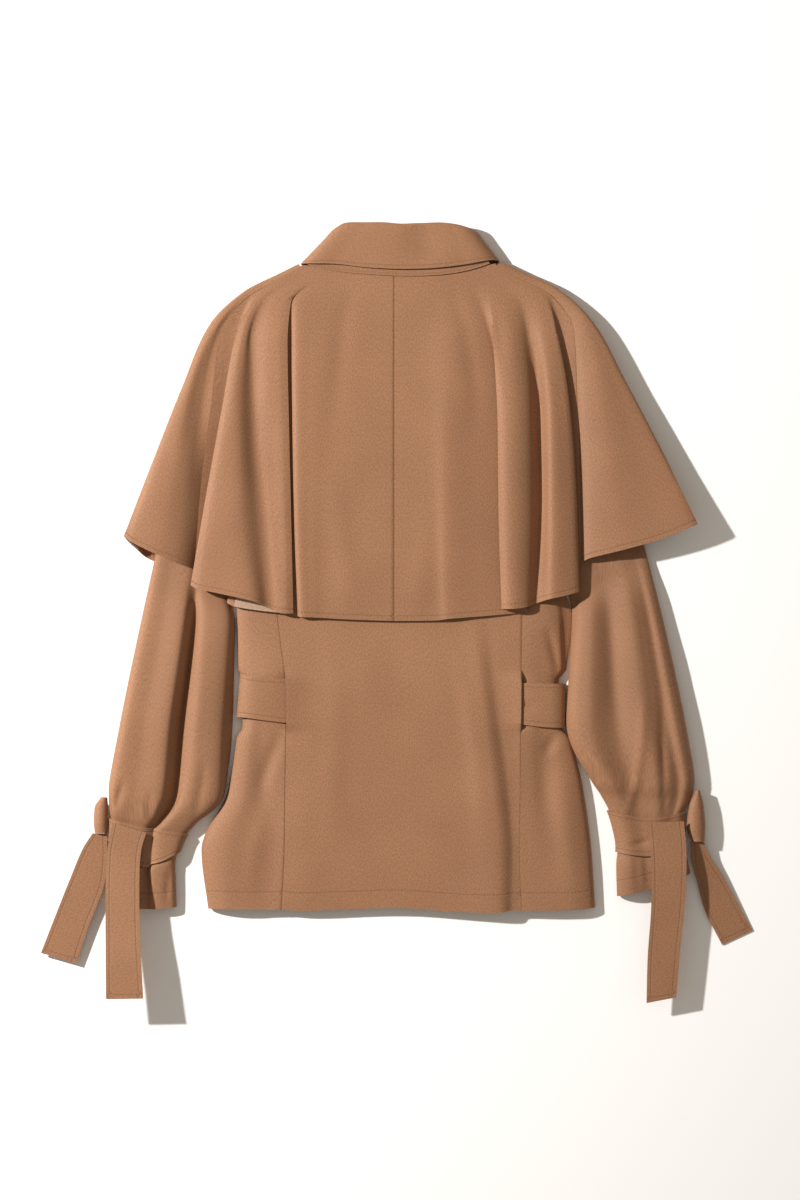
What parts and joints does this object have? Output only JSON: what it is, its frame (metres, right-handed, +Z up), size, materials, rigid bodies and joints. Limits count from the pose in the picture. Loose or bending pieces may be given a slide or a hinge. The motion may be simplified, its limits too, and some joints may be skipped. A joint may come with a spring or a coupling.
{
  "type": "trench coat",
  "caption": "Tan gabardine cropped trench coat with a deep lined cape, collar, belt through slots in the back and tied cuffs, laid flat, face down.",
  "frame": {"origin": "on the surface that the coat lies on, below the middle of its bounding box", "axes": "+Z up from the surface, +Y from the hem to the collar, +X to the right of the coat as it lies, its back up"},
  "size_m": [0.7483, 0.8198, 0.0403],
  "materials": {
    "gabardine": "matte",
    "lining_satin": "satin"
  },
  "bodies": {
    "root": {"back_centre": "gabardine", "back_side_left": "gabardine", "back_side_right": "gabardine", "belt": "gabardine", "cape_back_left": "gabardine", "cape_back_right": "gabardine", "cape_front_left": "gabardine", "cape_front_right": "gabardine", "cape_neck_binding": "gabardine", "collar": "gabardine", "cuff_band_left": "gabardine", "cuff_band_right": "gabardine", "cuff_knot_left": "gabardine", "cuff_knot_right": "gabardine", "front_left": "gabardine", "front_right": "gabardine", "sleeve_left": "gabardine", "sleeve_right": "gabardine", "tie_tail_left_slanted": "gabardine", "tie_tail_left_straight": "gabardine", "tie_tail_right_slanted": "gabardine", "tie_tail_right_straight": "gabardine", "cape_lining_corner": "lining_satin", "cape_lining_flare": "lining_satin"}
  },
  "joints": []
}
